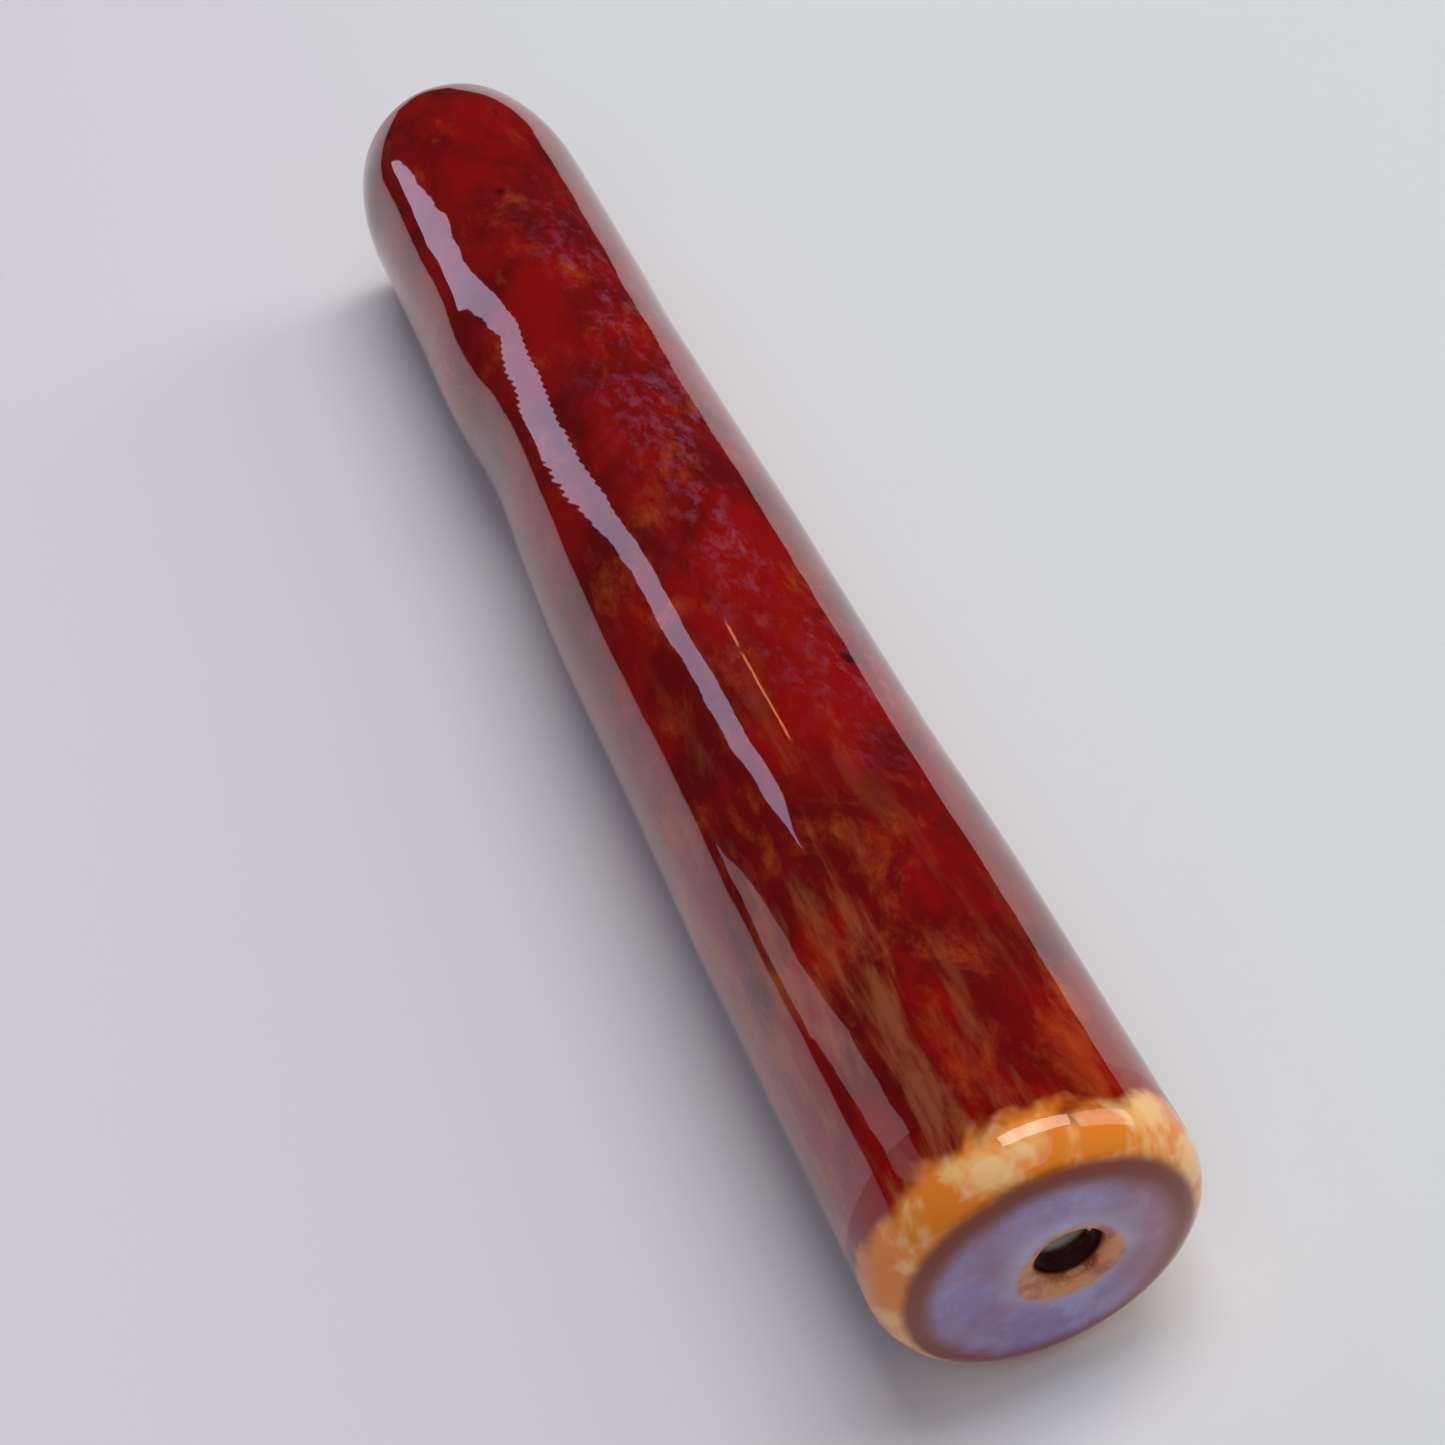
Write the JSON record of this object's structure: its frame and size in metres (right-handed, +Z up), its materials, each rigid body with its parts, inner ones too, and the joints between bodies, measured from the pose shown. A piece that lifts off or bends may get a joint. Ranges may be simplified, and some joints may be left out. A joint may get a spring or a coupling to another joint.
{
  "type": "glazed ceramic tube",
  "caption": "Short hand-rolled ceramic tube with a narrow airway from its flat mouth to a wider bowl, glazed red over amber rims.",
  "frame": {"origin": "on the surface that the tube lies on, under the middle of its length", "axes": "+X along the tube, out of the mouth end; +Z up"},
  "size_m": [0.078, 0.0124, 0.0121],
  "materials": {
    "clay": "fired buff stoneware",
    "red_glaze": "glossy deep red glaze, mottled orange and violet",
    "amber_glaze": "glossy amber glaze, thin over the rim",
    "lavender_glaze": "milky lavender glaze, pooled",
    "lip_glaze": "glossy amber glaze",
    "lining_glaze": "glossy pale glaze"
  },
  "bodies": {
    "root": {"clay_body": "clay", "barrel_glaze": "red_glaze", "mouth_rim_glaze": "amber_glaze", "mouth_face_glaze": "lavender_glaze", "mouth_lip_glaze": "lip_glaze", "airway_glaze": "lining_glaze", "bowl_glaze": "lining_glaze", "bowl_rim_glaze": "amber_glaze"}
  },
  "joints": []
}
